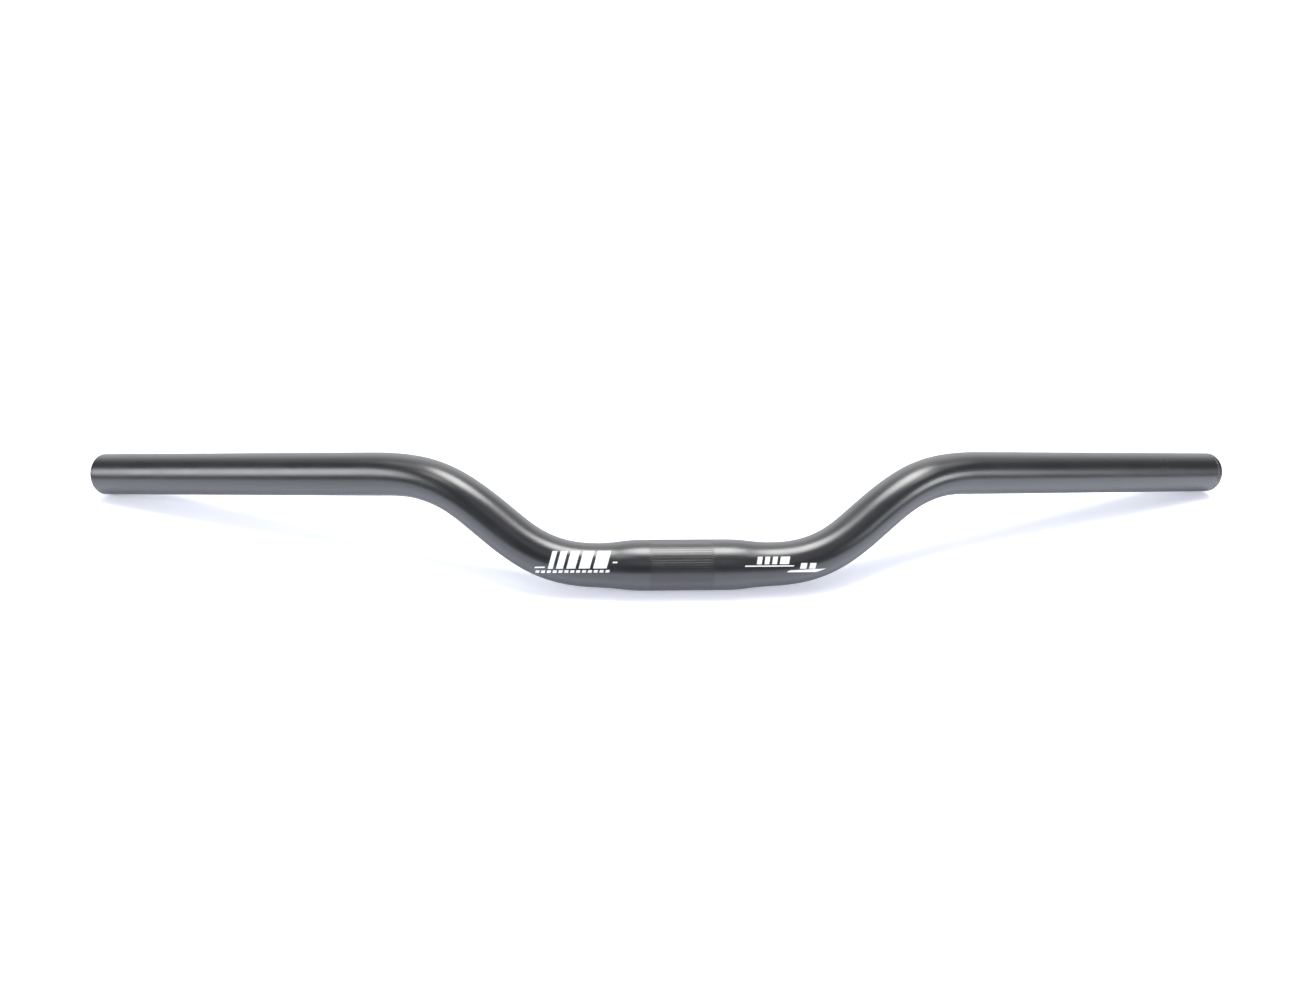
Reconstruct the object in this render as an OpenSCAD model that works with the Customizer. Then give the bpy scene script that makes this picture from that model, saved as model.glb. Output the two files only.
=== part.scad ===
// Bicycle handlebar: one aluminium tube, swollen at the middle for the stem,
// bent up and then back on both sides, and cut off square at both ends.
//
// Millimetres. The origin is the middle of the stem's clamping place, on the
// tube's axis, and +X runs along that axis. The bar lies at rest on the plane
// z = -clamp_d/2, on the underside of its middle and on its two end edges, with
// the bends standing up behind: +Y goes from the middle toward the bends.
//
// It is drawn first as it sits on a bicycle (X along the clamp, +Y back to the
// rider, +Z up), right half and mirrored left half, and then rolled about X
// until middle and ends stand on one plane.

/* [Clamping place] */
// diameter of the swollen middle that the stem grips
clamp_d = 25.4; // [25.2:0.1:26.4]
// length of the part of full clamping diameter
clamp_l = 40; // [38:1:60]
// length of the smooth taper from the clamping diameter to the tube, each side
taper_l = 24; // [18:1:40]
// wall of the tube at the middle
clamp_wall = 2.8; // [2.4:0.1:3]

/* [Tube] */
// outside diameter of the tube at the bends and the grips
tube_d = 22.2; // [21.8:0.1:22.6]
// wall of the tube at the bends and the grips
tube_wall = 2; // [1.8:0.1:2.4]
// width from the middle of one end face to the middle of the other
width = 625; // [560:5:760]
// chamfer of the outer edge at the cut ends
edge_out = 0.5; // [0.2:0.1:0.8]
// chamfer of the inner edge at the cut ends
edge_in = 0.3; // [0.2:0.1:0.6]

/* [Bends] */
// straight tube between the taper and the first bend, each side
lead = 0; // [0:1:20]
// radius of the tube's axis in the bends beside the clamping place
bend_r = 65; // [55:1:68]
// radius of the tube's axis in the bends where the grips begin
grip_bend_r = 70; // [60:1:84]
// angle at which the tube climbs between the two bends
climb = 40; // [32:1:42]
// height from the clamp's axis to the corner of the grip's axis
rise = 46.5; // [46:0.5:65]
// angle of the grips toward the rider, seen from above
backsweep = 20; // [6:1:26]
// angle of the grips upward, seen from the front
upsweep = 4.5; // [0:0.5:8]

/* [Knurling] */
// number of fine grooves around the clamping place
knurl_n = 64; // [40:1:72]
// length of the grooves
knurl_l = 32; // [20:0.5:33]
// depth of the grooves
knurl_depth = 0.1; // [0.05:0.05:0.3]
// how far the grooved zone sits off the middle, to the left
knurl_off = 2; // [0:0.1:2.4]

/* [Hidden] */
$fn = 96;

black_anodised = [0.07, 0.072, 0.078];

clamp_r = clamp_d / 2;
tube_r = tube_d / 2;
bore_mid_r = clamp_r - clamp_wall;
bore_r = tube_r - tube_wall;
straight_mid = clamp_l / 2 + taper_l + lead;
big = 4 * max(bend_r, grip_bend_r);

// an angle within 0.1 degree of a whose cosine and sine, each in whole
// millionths, square and add to one, so that turned pieces meet exactly
function whole(v) = round(v * 1000000) / 1000000;
function excess(a) = abs(pow(whole(cos(a)), 2) + pow(whole(sin(a)), 2) - 1);
function near(a, k = -1000, best = 1, at = 0) = k > 1000 ? at
    : excess(a + k / 10000) < best ? near(a, k + 1, excess(a + k / 10000), a + k / 10000)
    : near(a, k + 1, best, at);

// the climb, and the turn and twist that bring the grip to its two sweeps
climb_a = near(climb);
dir2 = [cos(climb_a), 0, sin(climb_a)];
up2 = [-sin(climb_a), 0, cos(climb_a)];
wish3 = [1, tan(backsweep), tan(upsweep)] / norm([1, tan(backsweep), tan(upsweep)]);
turn_a = near(acos(dir2 * wish3));
twist_a = near(atan2(wish3[1], -(wish3 * up2)));
dir3 = dir2 * cos(turn_a) + [0, sin(turn_a) * sin(twist_a), 0] - up2 * sin(turn_a) * cos(twist_a);

// corner points of the axis on the bicycle, and the straight parts between
corner1 = [straight_mid + bend_r * tan(climb_a / 2), 0, 0];
corner2 = corner1 + dir2 * rise / sin(climb_a);
tip = corner2 + dir3 * (width / 2 - corner2[0]) / dir3[0];
straight_climb = norm(corner2 - corner1) - bend_r * tan(climb_a / 2) - grip_bend_r * tan(turn_a / 2);
straight_grip = norm(tip - corner2) - grip_bend_r * tan(turn_a / 2);

// roll about X that sets the underside of the ends on the middle's plane
function rolled(p, a) = [p[0], p[1] * cos(a) - p[2] * sin(a), p[1] * sin(a) + p[2] * cos(a)];
function end_low(a) = rolled(tip, a)[2] - tube_r * sqrt(1 - pow(rolled(dir3, a)[2], 2));
function settle(lo, hi, n) = n == 0 ? (lo + hi) / 2
    : end_low((lo + hi) / 2) > -clamp_r ? settle(lo, (lo + hi) / 2, n - 1)
    : settle((lo + hi) / 2, hi, n - 1);
roll = settle(-85, 20, 40);

// everything in front of / behind the plane x = 0
module ahead() translate([0, -big, -big]) cube([2 * big, 2 * big, 2 * big]);
module behind() translate([-2 * big, -big, -big]) cube([2 * big, 2 * big, 2 * big]);

// frame at the far end of a bend of axis radius b that turns from +X toward the side s of Z
module bent(a, s, b) translate([0, 0, s * b])
    multmatrix([[whole(cos(a)), 0, -s * whole(sin(a)), 0], [0, 1, 0, 0], [s * whole(sin(a)), 0, whole(cos(a)), 0], [0, 0, 0, 1]])
    translate([0, 0, -s * b]) children();

// frame turned about the tube's own axis
module twisted(a)
    multmatrix([[1, 0, 0, 0], [0, whole(cos(a)), -whole(sin(a)), 0], [0, whole(sin(a)), whole(cos(a)), 0], [0, 0, 0, 1]]) children();

// one bend: the part of a ring between its two end planes
module elbow(r, a, s, b) intersection() {
    translate([0, 0, s * b]) rotate([90, -s * 90, 0]) rotate_extrude() translate([b, 0]) circle(r = r);
    ahead();
    bent(a, s, b) behind();
}

module rod(r, l) rotate([0, 90, 0]) cylinder(r = r, h = l);

// the taper beside the full diameter as a profile turned about X: two equal
// arcs tangent to each other and to the straight parts before and after
module taper(r_big, r_small) {
    h = r_big - r_small;
    arc = round((taper_l * taper_l + h * h) / (4 * h) * 1000) / 1000;
    half = taper_l / 2;
    translate([clamp_l / 2, 0, 0]) rotate([0, 90, 0]) rotate_extrude() {
        intersection() {
            square([r_big + 1, half]);
            translate([r_big - arc, 0]) circle(r = arc, $fn = 720);
        }
        translate([0, half]) difference() {
            square([r_small + h / 2, half]);
            translate([r_small + arc, half]) circle(r = arc, $fn = 720);
        }
    }
    if (lead > 0) translate([clamp_l / 2 + taper_l, 0, 0]) rod(r_small, lead);
}

// the tube's axis from the first bend to the end, at one radius
module arm(r, extra) translate([straight_mid, 0, 0]) {
    elbow(r, climb_a, 1, bend_r);
    bent(climb_a, 1, bend_r) {
        rod(r, straight_climb);
        translate([straight_climb, 0, 0]) twisted(twist_a) {
            elbow(r, turn_a, -1, grip_bend_r);
            bent(turn_a, -1, grip_bend_r) rod(r, straight_grip + extra);
        }
    }
}

// what sits at the end of the grip
module at_tip() translate([straight_mid, 0, 0]) bent(climb_a, 1, bend_r) translate([straight_climb, 0, 0])
    twisted(twist_a) bent(turn_a, -1, grip_bend_r) translate([straight_grip, 0, 0]) children();

module both() {
    children();
    mirror([1, 0, 0]) children();
}

// chamfers of the cut end: a ring off the outer edge and a cone in the mouth
module end_edges() at_tip() {
    rotate([0, 90, 0]) rotate_extrude() polygon([[tube_r - edge_out, 0], [tube_r + 1, -edge_out - 1], [tube_r + 1, 1], [tube_r - edge_out, 1]]);
    translate([-edge_in, 0, 0]) rotate([0, 90, 0]) cylinder(r1 = bore_r, r2 = bore_r + edge_in + 0.5, h = edge_in + 0.5);
}

module knurl() {
    w = 3.14159 * clamp_d / knurl_n * 0.26;
    d = knurl_depth;
    for (i = [0 : knurl_n - 1]) rotate([(i + 0.5) * 360 / knurl_n, 0, 0])
        translate([-knurl_off - knurl_l / 2, 0, clamp_r - d]) rotate([90, 0, 90])
            linear_extrude(knurl_l) polygon([[0, 0], [w / 2 * (d + 0.1) / d, d + 0.1], [-w / 2 * (d + 0.1) / d, d + 0.1]]);
}

module handlebar() color(black_anodised) rotate([roll, 0, 0]) difference() {
    union() {
        difference() {
            translate([-clamp_l / 2, 0, 0]) rod(clamp_r, clamp_l);
            knurl();
        }
        both() {
            taper(clamp_r, tube_r);
            arm(tube_r, 0);
        }
    }
    translate([-clamp_l / 2, 0, 0]) rod(bore_mid_r, clamp_l);
    both() {
        taper(bore_mid_r, bore_r);
        arm(bore_r, 5);
        end_edges();
    }
}

handlebar();
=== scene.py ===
import bpy, math
from mathutils import Matrix, Vector


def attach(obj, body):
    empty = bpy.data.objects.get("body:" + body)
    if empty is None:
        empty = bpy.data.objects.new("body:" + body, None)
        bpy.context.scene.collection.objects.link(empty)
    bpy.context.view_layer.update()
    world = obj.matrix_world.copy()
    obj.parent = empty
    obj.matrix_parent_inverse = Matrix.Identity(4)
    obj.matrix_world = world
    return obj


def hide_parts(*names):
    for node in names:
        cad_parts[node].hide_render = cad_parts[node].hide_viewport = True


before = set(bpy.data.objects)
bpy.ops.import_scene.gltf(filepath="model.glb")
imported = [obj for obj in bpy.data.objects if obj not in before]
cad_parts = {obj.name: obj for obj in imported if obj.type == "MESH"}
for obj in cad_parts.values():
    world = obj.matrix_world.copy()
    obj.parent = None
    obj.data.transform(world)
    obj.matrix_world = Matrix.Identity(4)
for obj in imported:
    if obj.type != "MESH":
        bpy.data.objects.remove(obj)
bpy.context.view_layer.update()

# ---------------------------------------------------------------- sizes, in metres, as in the CAD source
MM = 0.001
CLAMP_R, TUBE_R = 12.7 * MM, 11.1 * MM
BORE_MID_R, BORE_R = 9.9 * MM, 9.1 * MM
CLAMP_HALF, TAPER = 20.0 * MM, 24.0 * MM
BEND_R = 65.0 * MM                      # the first bend's, which sets where its corner is
BEND_1, BEND_2 = (59.0 * MM, 24.0 * MM), (61.5 * MM, 27.0 * MM)   # radius in the bend, and length over which it sets in
RISE, WIDTH = 46.5 * MM, 626.5 * MM
BACKSWEEP, UPSWEEP, CLIMB = 19.96, 4.5927, 39.9972
KNURL_N, KNURL_L, KNURL_OFF, KNURL_D = 64, 32.0 * MM, 2.0 * MM, 0.042 * MM
GROOVE = 0.075                          # half a groove's width, in pitches
ROLL = math.radians(-43.0015)          # from how it sits on a bicycle to how it lies
FLOOR_Z = -CLAMP_R

AROUND = 256                            # four to a groove of the knurling
INNER = 64
OVAL_1, OVAL_2, WIDER = 0.022, 0.042, 0.55   # flattening of the tube in its bends, and how much of it goes sideways
EDGE = 0.8 * MM                         # rounding of the cut ends
PALE_RING = (3.3 * MM, 2.7 * MM)             # a thin paler, beige-flecked ring close to the right end, its edges measured from the end


# ---------------------------------------------------------------- the tube's axis, right half, from the middle outward
def rotation(axis, angle):
    return Matrix.Rotation(angle, 3, axis)


def smooth(t):
    t = min(max(t, 0.0), 1.0)
    return t * t * (3 - 2 * t)


def eased(angle, radius, ease, steps=40, fine=16):
    """A bend in its plane, whose curvature grows over the length ease, stays at 1 / radius and goes back in
    the same way: marks of (length, heading, x, y)."""
    ease = min(ease, angle * radius * 0.999)
    total = angle * radius + ease
    marks, x, y = [], 0.0, 0.0
    for i in range(1, steps * fine + 1):
        mid, end = (i - 0.5) * total / (steps * fine), i * total / (steps * fine)
        heads = []
        for l in (mid, end):
            if l < ease:
                heads.append(l * l / (2 * ease * radius))
            elif l < total - ease:
                heads.append((l - ease / 2) / radius)
            else:
                heads.append(angle - (total - l) ** 2 / (2 * ease * radius))
        x += math.cos(heads[0]) * total / (steps * fine)
        y += math.sin(heads[0]) * total / (steps * fine)
        if i % fine == 0:
            marks.append((end, heads[1], x, y))
    return marks


def axis_stations():
    """(distance from the middle, centre, 3x3 frame with the tube's direction first, flattening, angle of the
    flattened direction) for one half."""
    climb = math.radians(CLIMB)
    d2 = Vector((math.cos(climb), 0, math.sin(climb)))
    d3 = Vector((1, math.tan(math.radians(BACKSWEEP)), math.tan(math.radians(UPSWEEP)))).normalized()
    turn = math.acos(d2.dot(d3))
    corner1 = CLAMP_HALF + TAPER + BEND_R * math.tan(climb / 2)
    bend1, bend2 = eased(climb, *BEND_1), eased(turn, *BEND_2)
    t1, t2 = (b[-1][3] / math.sin(b[-1][1]) for b in (bend1, bend2))
    start1 = corner1 - t1
    corner2 = Vector((corner1, 0, 0)) + d2 * (RISE / math.sin(climb))
    tip = corner2 + d3 * ((WIDTH / 2 - corner2.x) / d3.x)
    len2 = RISE / math.sin(climb) - t1 - t2
    len3 = (tip - corner2).length - t2
    axis2 = d2.cross(d3).normalized()

    out = []
    pos, rot, s = Vector((0, 0, 0)), Matrix.Identity(3), 0.0

    def straight(marks):
        """marks are distances along this stretch; the last is its end."""
        nonlocal pos, s
        for m in marks:
            out.append((s + m, pos + rot @ Vector((m, 0, 0)), rot.copy(), 0.0, 0.0))
        pos = pos + rot @ Vector((marks[-1], 0, 0))
        s += marks[-1]

    def bend(axis, marks, oval):
        nonlocal pos, rot, s
        direction = rot @ Vector((1, 0, 0))
        toward = axis.cross(direction)
        p0, r0 = pos.copy(), rot.copy()
        local = r0.transposed() @ toward
        inward = math.atan2(-local.y, local.z)
        for length, heading, x, y in marks:
            q = length / marks[-1][0]
            flat = oval * smooth(q / 0.36) * smooth((1 - q) / 0.36)
            out.append((s + length, p0 + direction * x + toward * y, rotation(axis, heading) @ r0, flat, inward))
        pos, rot = out[-1][1].copy(), out[-1][2].copy()
        s += marks[-1][0]

    # the middle: rings are dense at the ends of the knurling and along the taper
    taper = [CLAMP_HALF + TAPER * i / 24 for i in range(0, 25)]
    plain = [m * MM for m in (0.0, 5.0, 10.0)]
    knurl_marks = []
    for end in (KNURL_L / 2 - KNURL_OFF, KNURL_L / 2 + KNURL_OFF):
        knurl_marks += [end + d * MM for d in (-1.1, -0.8, -0.5, -0.25, -0.1, 0.0, 0.15, 0.35, 0.6)]
    straight([m for m in sorted(set(plain + knurl_marks + taper)) if m < start1 - 0.4 * MM] + [start1])
    bend(Vector((0, -1, 0)), bend1, OVAL_1)
    straight([len2 * i / 2 for i in range(1, 3)])
    bend(axis2, bend2, OVAL_2)
    straight([len3 * f for f in (0.1, 0.25, 0.4, 0.55, 0.7, 0.85)] + [len3 - m * MM for m in (6.0, 4.4)] + [len3 - PALE_RING[0], len3 - PALE_RING[1], len3])
    return out


STATIONS = axis_stations()
LENGTH = STATIONS[-1][0]


def swollen(s, big, small):
    """Radius at distance s from the middle: full, then two equal tangent arcs, then the tube's."""
    s = abs(s) - CLAMP_HALF
    if s <= 0:
        return big
    if s >= TAPER:
        return small
    h = big - small
    arc = (TAPER * TAPER + h * h) / (4 * h)
    if s < TAPER / 2:
        return big - arc + math.sqrt(arc * arc - s * s)
    return small + arc - math.sqrt(arc * arc - (TAPER - s) ** 2)


def oval(flat, inward, angle):
    """How far the section of a bend is from round, at one angle: less in the plane of the bend, more across."""
    c = math.cos(angle - inward) ** 2
    return 1 + flat * (WIDER * (1 - c) - c)


def knurled(s):
    """How deep the grooves are at signed distance s: they run out over about a millimetre."""
    d = KNURL_L / 2 - abs(s + KNURL_OFF)
    return smooth((d + 0.1 * MM) / (1.1 * MM))


def lip(s):
    """The rollers push up a very low, rounded edge where the grooves run out."""
    d = abs(abs(s + KNURL_OFF) - KNURL_L / 2 - 0.1 * MM)
    return 0.012 * MM * smooth(1 - d / (0.6 * MM))


def lying(v):
    """From the bicycle's frame to the frame of the part, which lies on its side."""
    c, s = math.cos(ROLL), math.sin(ROLL)
    return Vector((v.x, v.y * c - v.z * s, v.y * s + v.z * c))


def mirrored(v):
    return Vector((-v.x, v.y, v.z))


def bar_mesh():
    verts, faces, s_of = [], [], []

    def ring(centre, rot, radius, s, side, count, groove=0.0, flat=0.0, inward=0.0):
        """One ring, its points counted the same way round on both halves."""
        first = len(verts)
        for i in range(count):
            # angle zero is the bicycle's up; it grows toward the rider. Of the four points of a
            # pitch, the first is the middle of a land, the third the bottom of a groove.
            a = 2 * math.pi * i / count
            if count == AROUND:
                a = 2 * math.pi / KNURL_N * (i // 4 + (0.0, 0.5 - GROOVE, 0.5, 0.5 + GROOVE)[i % 4])
            r = radius * oval(flat, inward, a)
            if groove:
                r -= groove if i % 4 == 2 else 0.0
            v = centre + rot @ Vector((0, -math.sin(a) * r, math.cos(a) * r))
            if side < 0:
                v = mirrored(v)
            verts.append(lying(v))
            s_of.append(s * side)
        return list(range(first, first + count))

    def strip(a, b):
        n = len(a)
        for i in range(n):
            j = (i + 1) % n
            faces.append((a[i], a[j], b[j], b[i]))

    def fan(outer, inner):
        """Between a ring of many points and one of few."""
        k = len(outer) // len(inner)
        n = len(inner)
        for j in range(n):
            j2 = (j + 1) % n
            for m in range(k):
                faces.append((outer[(j * k + m) % len(outer)], outer[(j * k + m + 1) % len(outer)], inner[j]))
            faces.append((outer[(j2 * k) % len(outer)], inner[j2], inner[j]))

    rings = []          # outer rings from the left end to the right end
    half = STATIONS
    edge = EDGE         # rounded edge of the cut end
    steps = 8

    def outer_rings(side):
        out = []
        for s, c, r, flat, inward in half:
            rad = swollen(s, CLAMP_R, TUBE_R)
            g = KNURL_D * knurled(s * side)
            rad += lip(s * side) if s < CLAMP_HALF + 1 * MM else 0.0
            if s >= LENGTH - edge:
                continue
            out.append(ring(c, r, rad, s, side, AROUND, g, flat, inward))
        # the rounded outer edge
        s, c, r = half[-1][:3]
        direction = r @ Vector((1, 0, 0))
        for i in range(steps + 1):
            t = math.pi / 2 * i / steps
            back = edge * (1 - math.sin(t))
            rad = TUBE_R - edge * (1 - math.cos(t))
            out.append(ring(c - direction * back, r, rad, LENGTH - back, side, AROUND))
        return out

    right = outer_rings(1)
    left = outer_rings(-1)
    chain = left[::-1][:-1] + right
    # the two halves share the ring at the middle
    for a, b in zip(chain[:-1], chain[1:]):
        strip(a, b)

    def inner_rings(side):
        out = []
        bevel = 0.35 * MM
        s, c, r = half[-1][:3]
        direction = r @ Vector((1, 0, 0))
        for i in range(4):
            t = math.pi / 2 * i / 3
            depth = bevel * (1 - math.cos(t))
            rad = BORE_R + bevel * (1 - math.sin(t))
            out.append(ring(c - direction * depth, r, rad, LENGTH - depth, side, INNER))
        keep = [st for st in half if st[0] < LENGTH - 1.5 * MM]
        thin = []
        for k, st in enumerate(keep):
            if k % 2 == 0 or st[0] < 1e-6:
                thin.append(st)
        for s, c, r, flat, inward in thin[::-1]:
            out.append(ring(c, r, swollen(s, BORE_MID_R, BORE_R), s, side, INNER, 0.0, flat, inward))
        return out

    outside = len(verts)
    inner_r = inner_rings(1)
    inner_l = inner_rings(-1)
    # cut faces
    fan(right[-1], inner_r[0])
    for a, b in zip(inner_r[:-1], inner_r[1:]):
        strip(a, b)
    before = len(faces)
    # left: the same, turned over
    fan(left[-1], inner_l[0])
    for a, b in zip(inner_l[:-2], inner_l[1:-1]):
        strip(a, b)
    strip(inner_l[-2], inner_r[-1])
    for k in range(before, len(faces)):
        faces[k] = tuple(reversed(faces[k]))
    # the ring that both halves of the bore would share is kept once
    return verts, faces, s_of, outside


def build_bar():
    verts, faces, s_of, outside = bar_mesh()
    used = sorted({i for f in faces for i in f})
    new = {old: k for k, old in enumerate(used)}
    mesh = bpy.data.meshes.new("bar_tube")
    mesh.from_pydata([verts[i] for i in used], [], [tuple(new[i] for i in f) for f in faces])
    # the second material goes on the pale ring near the right end, the third on the knurling, outside only
    face_slots = []
    for f in faces:
        s = [s_of[i] for i in f]
        kind = 1 if min(s) > LENGTH - PALE_RING[0] - 1e-7 and max(s) < LENGTH - PALE_RING[1] + 1e-7 else 0
        kind = 2 if max(abs(v + KNURL_OFF) for v in s) < KNURL_L / 2 + 0.01 * MM else kind
        face_slots.append(kind if len(f) == 4 and max(f) < outside else 0)
    mesh.polygons.foreach_set("material_index", face_slots)
    import bmesh
    bm = bmesh.new()
    bm.from_mesh(mesh)
    bmesh.ops.recalc_face_normals(bm, faces=bm.faces[:])
    bm.to_mesh(mesh)
    bm.free()
    mesh.polygons.foreach_set("use_smooth", [True] * len(mesh.polygons))
    mesh.set_sharp_from_angle(angle=math.radians(24))
    obj = bpy.data.objects.new("bar_tube", mesh)
    bpy.context.scene.collection.objects.link(obj)
    return obj


# ---------------------------------------------------------------- print: thin fields laid on the tube
def on_tube(s, angle, lift):
    """A point on the outer surface: s is the signed distance from the middle along the tube."""
    d = min(abs(s), LENGTH - 1e-6)
    k = 0
    while STATIONS[k + 1][0] < d:
        k += 1
    (s0, c0, r0, f0, i0), (s1, c1, r1, f1, i1) = STATIONS[k], STATIONS[k + 1]
    t = (d - s0) / (s1 - s0)
    centre = c0.lerp(c1, t)
    local = Vector((0, -math.sin(angle), math.cos(angle)))
    out = (r0 @ local).lerp(r1 @ local, t)
    rad0, rad1 = swollen(s0, CLAMP_R, TUBE_R) * oval(f0, i0, angle), swollen(s1, CLAMP_R, TUBE_R) * oval(f1, i1, angle)
    v = centre + out * ((1 - t) * rad0 + t * rad1 + lift)
    if s < 0:
        v = mirrored(v)
    return lying(v)


def under_pad(x, q):
    """Where a print lands that is pressed on from the front: x along the bar and q up the picture, both in
    metres. Gives the distance along the tube and the angle round it."""
    s = x
    a = FACING - q / swollen(x, CLAMP_R, TUBE_R)
    ds, da = 0.0001, 0.004
    for _ in range(5):
        p = on_tube(s, a, 0)
        e = (x - p.x, q - p.dot(PAD_UP))
        if abs(e[0]) + abs(e[1]) < 2e-6:
            break
        ps, pa = on_tube(s + ds, a, 0) - p, on_tube(s, a + da, 0) - p
        m00, m01, m10, m11 = ps.x / ds, pa.x / da, ps.dot(PAD_UP) / ds, pa.dot(PAD_UP) / da
        det = m00 * m11 - m01 * m10
        s += (e[0] * m11 - e[1] * m01) / det
        a += (e[1] * m00 - e[0] * m10) / det
    return s, a


def along_tube(s, q):
    """The place of a scratch: distance along the tube, and way round it from the bicycle's up, in metres."""
    return s, q / TUBE_R


def printed(name, quads, lift=0.02, root=0.05, cell=0.8, place=under_pad):
    """Closed thin slabs bent onto the tube. A quad is four corners in millimetres: for print (along, up) in
    the plane of the pad that pressed them on from the front, for scratches (along, round)."""
    verts, faces = [], []
    for quad in quads:
        (ax, ay), (bx, by), (cx, cy), (dx, dy) = quad
        n = max(1, math.ceil(max(math.hypot(bx - ax, by - ay), math.hypot(cx - dx, cy - dy)) / cell))
        m = max(1, math.ceil(max(math.hypot(dx - ax, dy - ay), math.hypot(cx - bx, cy - by)) / cell))
        base = len(verts)
        spots = []
        for j in range(m + 1):
            for i in range(n + 1):
                p, q = i / n, j / m
                x = (1 - q) * ((1 - p) * ax + p * bx) + q * ((1 - p) * dx + p * cx)
                y = (1 - q) * ((1 - p) * ay + p * by) + q * ((1 - p) * dy + p * cy)
                spots.append(place(x * MM, y * MM))
        for level in (lift, -root):
            verts.extend(on_tube(s, a, level * MM) for s, a in spots)
        def at(i, j, low=False):
            return base + (low * (m + 1) * (n + 1)) + j * (n + 1) + i
        for j in range(m):
            for i in range(n):
                faces.append((at(i, j), at(i + 1, j), at(i + 1, j + 1), at(i, j + 1)))
                faces.append((at(i, j, 1), at(i, j + 1, 1), at(i + 1, j + 1, 1), at(i + 1, j, 1)))
        for i in range(n):
            faces.append((at(i, 0), at(i, 0, 1), at(i + 1, 0, 1), at(i + 1, 0)))
            faces.append((at(i + 1, m), at(i + 1, m, 1), at(i, m, 1), at(i, m)))
        for j in range(m):
            faces.append((at(0, j + 1), at(0, j + 1, 1), at(0, j, 1), at(0, j)))
            faces.append((at(n, j), at(n, j, 1), at(n, j + 1, 1), at(n, j + 1)))
    mesh = bpy.data.meshes.new(name)
    mesh.from_pydata(verts, [], faces)
    mesh.validate()
    import bmesh
    bm = bmesh.new()
    bm.from_mesh(mesh)
    bmesh.ops.recalc_face_normals(bm, faces=bm.faces[:])
    bm.to_mesh(mesh)
    bm.free()
    mesh.polygons.foreach_set("use_smooth", [True] * len(mesh.polygons))
    mesh.set_sharp_from_angle(angle=math.radians(40))
    obj = bpy.data.objects.new(name, mesh)
    bpy.context.scene.collection.objects.link(obj)
    return obj


FACING = math.radians(97.6)             # the line that faces the viewer, from the bicycle's up
PAD_UP = Vector((0, 0.579, 0.815))


def bar_quad(x0, x1, y0, y1, slant):
    """A leaning block from y0 up to y1; slant is how far its top moves along per millimetre of height."""
    return ((x0 + slant * y0, y0), (x1 + slant * y0, y0), (x1 + slant * y1, y1), (x0 + slant * y1, y1))


# ---------------------------------------------------------------- materials
class Nodes:
    def __init__(self, name):
        self.mat = bpy.data.materials.new(name)
        self.mat.use_nodes = True
        self.tree = self.mat.node_tree
        self.bsdf = self.tree.nodes["Principled BSDF"]

    def add(self, kind, **values):
        n = self.tree.nodes.new(kind)
        for k, v in values.items():
            if k.startswith("in_"):
                n.inputs[k[3:].replace("__", " ")].default_value = v
            else:
                setattr(n, k, v)
        return n

    def link(self, a, b):
        self.tree.links.new(a, b)

    def math(self, op, a, b=None, clamp=False):
        n = self.tree.nodes.new("ShaderNodeMath")
        n.operation = op
        n.use_clamp = clamp
        for i, v in enumerate((a, b)):
            if v is None:
                continue
            if isinstance(v, (int, float)):
                n.inputs[i].default_value = v
            else:
                self.link(v, n.inputs[i])
        return n.outputs[0]


def black_anodised(name="satin_black_anodised", matt=0.0, shine=1.0):
    m = Nodes(name)
    b = m.bsdf
    b.inputs["Metallic"].default_value = 0.0
    b.inputs["IOR"].default_value = 1.8
    coords = m.add("ShaderNodeTexCoord")
    obj = coords.outputs["Object"]
    # fine matt grain of the blasted and anodised surface
    grain = m.add("ShaderNodeTexNoise", in_Scale=4200.0, in_Detail=2.0, in_Roughness=0.6)
    m.link(obj, grain.inputs["Vector"])
    cloud = m.add("ShaderNodeTexNoise", in_Scale=60.0, in_Detail=4.0, in_Roughness=0.55)
    m.link(obj, cloud.inputs["Vector"])
    rough = m.add("ShaderNodeMapRange", in_From__Min=0.3, in_From__Max=0.7, in_To__Min=0.275 + matt, in_To__Max=0.325 + matt)
    m.link(cloud.outputs["Fac"], rough.inputs["Value"])
    m.link(rough.outputs["Result"], b.inputs["Roughness"])
    tone = m.add("ShaderNodeMapRange", in_From__Min=0.3, in_From__Max=0.7, in_To__Min=0.0, in_To__Max=1.0)
    m.link(cloud.outputs["Fac"], tone.inputs["Value"])
    mix = m.add("ShaderNodeMix", data_type="RGBA")
    mix.inputs["A"].default_value = (0.0036, 0.0041, 0.0070, 1)
    mix.inputs["B"].default_value = (0.0056, 0.0062, 0.0092, 1)
    m.link(tone.outputs["Result"], mix.inputs["Factor"])
    m.link(mix.outputs["Result"], b.inputs["Base Color"])
    # the blasted surface hides its own far slopes, so it shines less than glass seen along it
    rim = m.add("ShaderNodeLayerWeight", in_Blend=0.5)
    grow = m.add("ShaderNodeMapRange", interpolation_type="SMOOTHSTEP", in_From__Min=0.12, in_From__Max=0.42, in_To__Min=0.49, in_To__Max=0.6)
    fade = m.add("ShaderNodeMapRange", interpolation_type="SMOOTHSTEP", in_From__Min=0.5, in_From__Max=0.9, in_To__Min=shine, in_To__Max=0.04)
    for n in (grow, fade):
        m.link(rim.outputs["Facing"], n.inputs["Value"])
    m.link(m.math("MULTIPLY", grow.outputs["Result"], fade.outputs["Result"]), b.inputs["Specular IOR Level"])
    bump = m.add("ShaderNodeBump", in_Strength=0.12, in_Distance=0.00004)
    m.link(grain.outputs["Fac"], bump.inputs["Height"])
    m.link(bump.outputs["Normal"], b.inputs["Normal"])
    return m.mat


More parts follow.
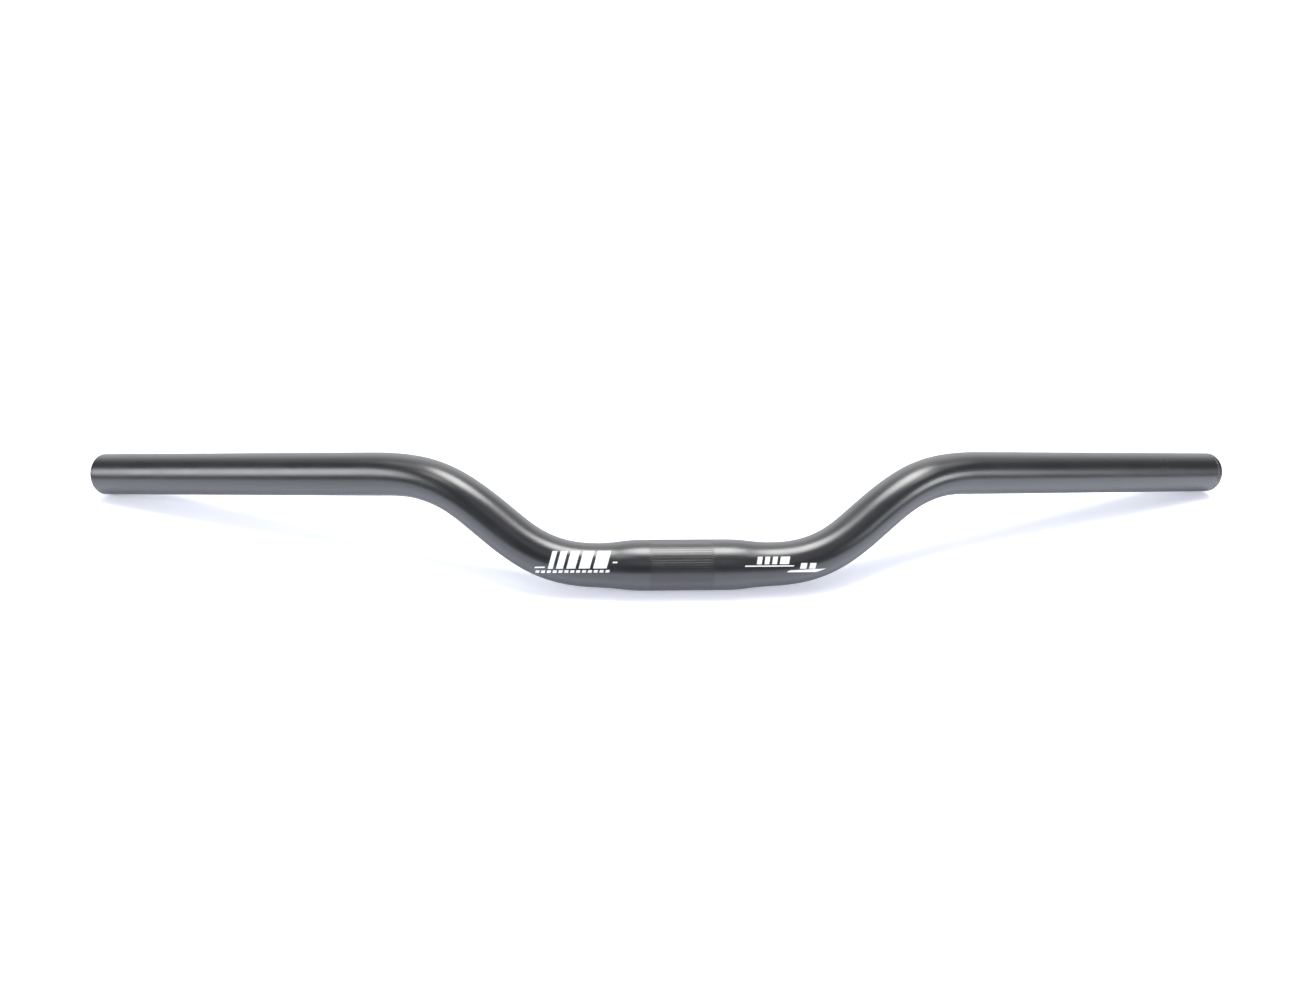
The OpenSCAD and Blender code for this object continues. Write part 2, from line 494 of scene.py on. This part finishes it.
def pale_ring_material():
    m = Nodes("pale_end_ring")
    b = m.bsdf
    coords = m.add("ShaderNodeTexCoord")
    patches = m.add("ShaderNodeTexNoise", in_Scale=900.0, in_Detail=3.0, in_Roughness=0.6)
    m.link(coords.outputs["Object"], patches.inputs["Vector"])
    where = m.add("ShaderNodeMapRange", in_From__Min=0.42, in_From__Max=0.58)
    m.link(patches.outputs["Fac"], where.inputs["Value"])
    # near-black mixed with pale beige in noise patches, for the thin paler ring near the right end
    mix = m.add("ShaderNodeMix", data_type="RGBA")
    mix.inputs["A"].default_value = (0.020, 0.019, 0.018, 1)
    mix.inputs["B"].default_value = (0.25, 0.225, 0.19, 1)
    m.link(where.outputs["Result"], mix.inputs["Factor"])
    m.link(mix.outputs["Result"], b.inputs["Base Color"])
    b.inputs["Roughness"].default_value = 0.5
    return m.mat


def white_print():
    m = Nodes("white_print")
    b = m.bsdf
    coords = m.add("ShaderNodeTexCoord")
    ink = m.add("ShaderNodeTexNoise", in_Scale=1500.0, in_Detail=3.0, in_Roughness=0.6)
    m.link(coords.outputs["Object"], ink.inputs["Vector"])
    tone = m.add("ShaderNodeMapRange", in_From__Min=0.35, in_From__Max=0.65)
    m.link(ink.outputs["Fac"], tone.inputs["Value"])
    mix = m.add("ShaderNodeMix", data_type="RGBA")
    mix.inputs["A"].default_value = (0.80, 0.80, 0.81, 1)
    mix.inputs["B"].default_value = (0.90, 0.90, 0.90, 1)
    m.link(tone.outputs["Result"], mix.inputs["Factor"])
    m.link(mix.outputs["Result"], b.inputs["Base Color"])
    b.inputs["Roughness"].default_value = 0.42
    b.inputs["IOR"].default_value = 1.5
    bump = m.add("ShaderNodeBump", in_Strength=0.1, in_Distance=0.00002)
    m.link(ink.outputs["Fac"], bump.inputs["Height"])
    m.link(bump.outputs["Normal"], b.inputs["Normal"])
    return m.mat


def pale_scratch():
    m = Nodes("pale_scratch")
    b = m.bsdf
    coords = m.add("ShaderNodeTexCoord")
    n = m.add("ShaderNodeTexNoise", in_Scale=1200.0, in_Detail=3.0)
    m.link(coords.outputs["Object"], n.inputs["Vector"])
    mix = m.add("ShaderNodeMix", data_type="RGBA")
    mix.inputs["A"].default_value = (0.018, 0.018, 0.0185, 1)
    mix.inputs["B"].default_value = (0.032, 0.032, 0.0325, 1)
    m.link(n.outputs["Fac"], mix.inputs["Factor"])
    m.link(mix.outputs["Result"], b.inputs["Base Color"])
    b.inputs["Roughness"].default_value = 0.36
    b.inputs["IOR"].default_value = 1.8
    b.inputs["Specular IOR Level"].default_value = 0.6
    return m.mat


def floor_material():
    m = Nodes("pale_floor")
    m.bsdf.inputs["Base Color"].default_value = (0.855, 0.885, 0.99, 1)
    m.bsdf.inputs["Roughness"].default_value = 1.0
    m.bsdf.inputs["Specular IOR Level"].default_value = 0.0
    m.bsdf.inputs["Emission Color"].default_value = (0.95, 0.965, 1.04, 1)
    m.bsdf.inputs["Emission Strength"].default_value = 0.37
    return m.mat


# ---------------------------------------------------------------- the object
bar = build_bar()
bar.data.materials.append(black_anodised())
bar.data.materials.append(pale_ring_material())
bar.data.materials.append(black_anodised("knurled_black_anodised", 0.02, 0.93))
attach(bar, "root")
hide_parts("handlebar")

# left: leaning bars that grow wider, over a thin rule; right: a rule with a few leaning ticks
LEFT_PRINT = [bar_quad(x, x + w, -1.5, 7.1, 0.28) for x, w in ((-67.2, 2.4), (-63.2, 3.4), (-58.2, 4.4), (-52.2, 5.4), (-45.2, 6.6))]
LEFT_PRINT += [bar_quad(-73.6, -68.6, -1.1, -0.45, 0.5), bar_quad(-36.6, -34.4, 1.0, 1.7, 0.5)]
LEFT_PRINT += [bar_quad(-72.9 + 2.85 * i, -71.0 + 2.85 * i, -3.5, -2.3, 0.28) for i in range(13)]
RIGHT_PRINT = [bar_quad(x, x + w, 0.0, 3.7, 0.2) for x, w in ((34.6, 2.4), (38.4, 2.4), (42.2, 2.4), (46.0, 4.6))]
RIGHT_PRINT += [bar_quad(29.2, 53.6, -1.2, -0.6, 0.5), bar_quad(56.6, 59.8, -2.3, 0.5, 0.2), bar_quad(61.2, 64.4, -2.3, 0.5, 0.2)]
RIGHT_PRINT += [((49.6, -4.0), (64.6, -4.0), (69.8, -2.3), (51.2, -3.1))]
ink = white_print()
for name, quads in (("print_left", LEFT_PRINT), ("print_right", RIGHT_PRINT)):
    piece = printed(name, quads)
    piece.data.materials.append(ink)
    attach(piece, "root")

# faint pale scratches on the right grip, and a scuff near its end
def scratch(s0, a0, s1, a1, wide):
    r0, r1 = math.radians(a0) * TUBE_R / MM, math.radians(a1) * TUBE_R / MM
    return ((s0 - wide / 2, r0), (s0 + wide / 2, r0), (s1 + wide / 2, r1), (s1 - wide / 2, r1))


SCRATCHES = [scratch(293.5, 63, 291.4, 80, 0.7), scratch(299.3, 61, 296.8, 80, 0.6), scratch(296.0, 91, 295.3, 105, 0.7),
             scratch(292.6, 92, 292.0, 102, 0.9), scratch(332.8, 124, 332.2, 142, 1.6)]
tick = printed("scratches", SCRATCHES, 0.008, 0.05, 0.6, along_tube)
tick.data.materials.append(pale_scratch())
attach(tick, "root")

# ---------------------------------------------------------------- stage: floor, light, camera
floor_mesh = bpy.data.meshes.new("floor")
# a table: it ends shortly outside the picture, so the bar's lower side reflects where it stops
floor_mesh.from_pydata([(-0.45, -0.40, FLOOR_Z), (0.45, -0.40, FLOOR_Z), (0.45, 2.5, FLOOR_Z), (-0.45, 2.5, FLOOR_Z)], [], [(0, 1, 2, 3)])
floor = bpy.data.objects.new("floor", floor_mesh)
bpy.context.scene.collection.objects.link(floor)
floor.data.materials.append(floor_material())


def soft_light(name, azimuth, elevation, half_angle, radiance, colour, distance=4.0):
    """A round soft light. Azimuth is 0 behind the bar and 90 to its right; half_angle is its half width
    seen from the bar, radiance is what a mirror would show of it."""
    az, el = math.radians(azimuth), math.radians(elevation)
    d = Vector((math.sin(az) * math.cos(el), math.cos(az) * math.cos(el), math.sin(el)))
    radius = distance * math.tan(math.radians(half_angle))
    data = bpy.data.lights.new(name, "AREA")
    data.shape = "DISK"
    data.size = 2 * radius
    data.energy = radiance * math.pi * math.pi * radius * radius
    data.color = colour
    obj = bpy.data.objects.new(name, data)
    bpy.context.scene.collection.objects.link(obj)
    obj.location = Vector((0, 0.03, 0)) + d * distance
    obj.rotation_euler = d.to_track_quat("Z", "Y").to_euler()
    return obj


WHITE, COOL = (1, 0.995, 0.985), (0.96, 0.98, 1)
soft_light("overhead_light", 24, 79.2, 15.6, 11.3, WHITE)
soft_light("left_wing", -125, 68, 7, 5.5, WHITE)
soft_light("right_wing", 106, 60.5, 8, 4.2, WHITE, 0.8)
soft_light("left_light", -115, 25.5, 13, 7.0, COOL)
soft_light("right_light", 125, 20.5, 9.5, 9.4, COOL)
soft_light("right_spill", 107, 11, 13, 0.4, COOL)
soft_light("front_fill", 176, 46, 14, 0.6, COOL)
soft_light("left_spill", -118, 11, 8, 0.8, COOL)
soft_light("back_left", -62, 59, 10, 1.5, WHITE)
soft_light("back_right", 69, 52, 10, 1.4, WHITE)

world = bpy.data.worlds.new("studio")
bpy.context.scene.world = world
world.use_nodes = True
wt = world.node_tree
for n in list(wt.nodes):
    wt.nodes.remove(n)
out = wt.nodes.new("ShaderNodeOutputWorld")
coord = wt.nodes.new("ShaderNodeTexCoord")
sep = wt.nodes.new("ShaderNodeSeparateXYZ")
wt.links.new(coord.outputs["Generated"], sep.inputs[0])
ramp = wt.nodes.new("ShaderNodeMapRange")
ramp.interpolation_type = "SMOOTHSTEP"
ramp.inputs["From Min"].default_value = 0.24
ramp.inputs["From Max"].default_value = 1.0
ramp.inputs["To Min"].default_value = 0.2
ramp.inputs["To Max"].default_value = 1.85
wt.links.new(sep.outputs["Y"], ramp.inputs["Value"])
room = wt.nodes.new("ShaderNodeBackground")
wt.links.new(ramp.outputs["Result"], room.inputs["Strength"])
room.inputs["Color"].default_value = (0.98, 0.99, 1.0, 1)
plain = wt.nodes.new("ShaderNodeBackground")
plain.inputs["Color"].default_value = (1, 1, 1, 1)
plain.inputs["Strength"].default_value = 1.1
path = wt.nodes.new("ShaderNodeLightPath")
pick = wt.nodes.new("ShaderNodeMixShader")
wt.links.new(path.outputs["Is Camera Ray"], pick.inputs["Fac"])
wt.links.new(room.outputs[0], pick.inputs[1])
wt.links.new(plain.outputs[0], pick.inputs[2])
wt.links.new(pick.outputs[0], out.inputs["Surface"])

cam_data = bpy.data.cameras.new("camera")
cam_data.sensor_fit = "HORIZONTAL"
cam_data.sensor_width = 36.0
cam_data.lens = 31.846
cam_data.shift_y = -0.0003
cam_data.clip_start = 0.02
cam_data.clip_end = 60.0
cam = bpy.data.objects.new("camera", cam_data)
bpy.context.scene.collection.objects.link(cam)
right = Vector((0.9982061, -0.05232316, 0.02910102))
down = Vector((-0.0031256, -0.53093792, -0.84740495))
ahead = Vector((0.05978974, 0.84579384, -0.53014901))
rot = Matrix((right, -down, -ahead)).transposed()
cam.matrix_world = Matrix.Translation(Vector((-0.05126315, -0.46665339, 0.3309081))) @ rot.to_4x4()
bpy.context.scene.camera = cam

view = bpy.context.scene.view_settings
view.view_transform = "Standard"
view.look = "None"
view.exposure = 0.0
view.gamma = 1.0
